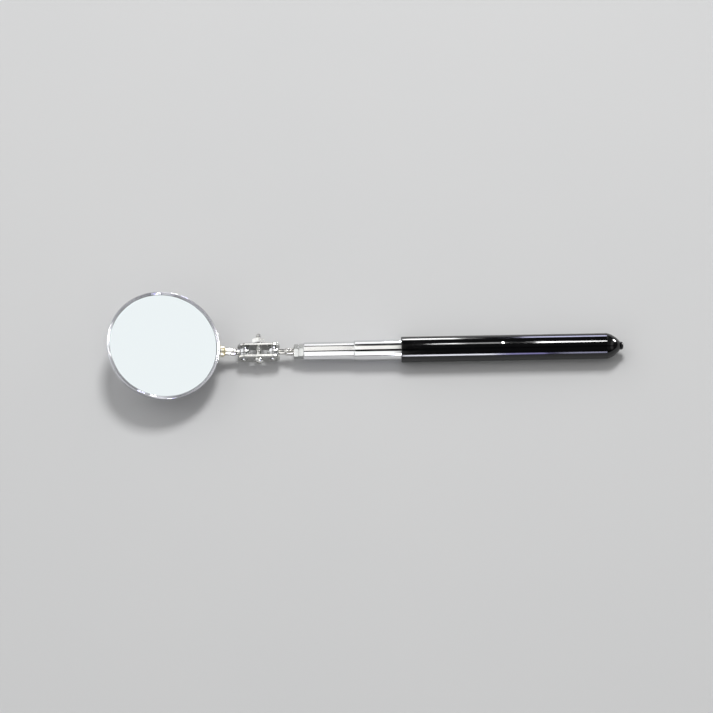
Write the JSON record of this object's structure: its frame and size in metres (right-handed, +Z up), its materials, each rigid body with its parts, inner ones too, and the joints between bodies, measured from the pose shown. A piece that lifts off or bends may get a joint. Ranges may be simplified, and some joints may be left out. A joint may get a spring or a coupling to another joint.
{
  "type": "telescopic inspection mirror",
  "caption": "Round rimmed inspection mirror on a plate-clamped ball joint, carried by telescopic tubes that slide out of a glossy straight grip with a curved end cone.",
  "frame": {"origin": "centre of the bounding box in plan, on the surface that the grip lies on", "axes": "+X along the tool from the mirror to the end of the grip, +Z up and out of the mirror's face"},
  "size_m": [0.2609, 0.0577, 0.0236],
  "materials": {
    "mirror_face": "silvered glass",
    "chrome_cup": "bright chrome plate on pressed steel",
    "pad_rubber": "foam rubber",
    "nickel_bracket": "nickel plated steel",
    "nickel_stem": "turned, nickel plated steel",
    "ball_steel": "polished steel ball",
    "nickel_plate": "bright nickel plate",
    "nickel_fastener": "nickel plated steel",
    "satin_nickel": "satin nickel",
    "chrome_tube": "bright chrome plate on drawn tube",
    "spring_brass": "rolled brass strip",
    "drawn_steel": "drawn steel tube",
    "black_gloss": "glossy black sleeve",
    "end_nub": "black enamel"
  },
  "bodies": {
    "grip": {"grip_sleeve": "black_gloss", "outer_tube": "drawn_steel", "grip_pin": "nickel_fastener", "grip_end_plug": "black_gloss", "end_button": "end_nub"},
    "middle_spring": {"middle_tube_spring": "spring_brass"},
    "middle_tube": {"middle_tube": "chrome_tube"},
    "inner_spring": {"inner_tube_spring": "spring_brass"},
    "inner_tube": {"inner_tube": "chrome_tube", "tube_plug": "satin_nickel", "stud_lock_nut": "satin_nickel"},
    "rear_stud": {"rear_stud": "nickel_stem"},
    "rear_ball": {"rear_ball": "ball_steel"},
    "clamp": {"clamp_plate_near": "nickel_plate", "clamp_plate_far": "nickel_plate", "clamp_screw": "nickel_fastener", "spring_washer": "nickel_fastener"},
    "clamp_nut": {"clamp_nut": "nickel_fastener"},
    "front_ball": {"front_ball": "ball_steel"},
    "mirror_stem": {"mirror_stem": "nickel_stem"},
    "mirror_head": {"stem_bracket": "nickel_bracket", "bracket_rivets": "nickel_bracket", "mirror_cup": "chrome_cup", "backing_pad": "pad_rubber", "mirror_glass": "mirror_face"}
  },
  "joints": [
    {"name": "middle_tube_slide", "type": "slide", "parent": "grip", "child": "middle_spring", "axis": [-1, 0, 0], "range_m": [-0.0235, 0.058]},
    {"name": "middle_tube_turn", "type": "hinge", "parent": "middle_spring", "child": "middle_tube", "pos_m": [0.05, 0, 0.00655], "axis": [1, 0, 0], "continuous": true},
    {"name": "inner_tube_slide", "type": "slide", "parent": "middle_tube", "child": "inner_spring", "axis": [-1, 0, 0], "range_m": [-0.025, 0.056]},
    {"name": "inner_tube_turn", "type": "hinge", "parent": "inner_spring", "child": "inner_tube", "pos_m": [0.02, 0, 0.00655], "axis": [1, 0, 0], "continuous": true},
    {"name": "rear_ball_twist", "type": "hinge", "parent": "inner_tube", "child": "rear_stud", "pos_m": [-0.0464, 0, 0.00655], "axis": [1, 0, 0], "continuous": true},
    {"name": "rear_ball_tilt", "type": "hinge", "parent": "rear_stud", "child": "rear_ball", "pos_m": [-0.0464, 0, 0.00655], "axis": [0, 0, 1], "range_deg": [-15, 15]},
    {"name": "rear_ball_swing", "type": "hinge", "parent": "rear_ball", "child": "clamp", "pos_m": [-0.0464, 0, 0.00655], "axis": [0, 1, 0], "range_deg": [-90, 90]},
    {"name": "clamp_nut_turn", "type": "hinge", "parent": "clamp", "child": "clamp_nut", "pos_m": [-0.05365, 0, 0.00655], "axis": [0, 1, 0], "range_deg": [0, 180]},
    {"name": "front_ball_swing", "type": "hinge", "parent": "clamp", "child": "front_ball", "pos_m": [-0.0609, 0, 0.00655], "axis": [0, -1, 0], "range_deg": [-80, 100]},
    {"name": "front_ball_tilt", "type": "hinge", "parent": "front_ball", "child": "mirror_stem", "pos_m": [-0.0609, 0, 0.00655], "axis": [0.1736, 0, 0.9848], "range_deg": [-15, 15]},
    {"name": "mirror_twist", "type": "hinge", "parent": "mirror_stem", "child": "mirror_head", "pos_m": [-0.0609, 0, 0.00655], "axis": [-0.9848, 0, 0.1736], "continuous": true}
  ]
}
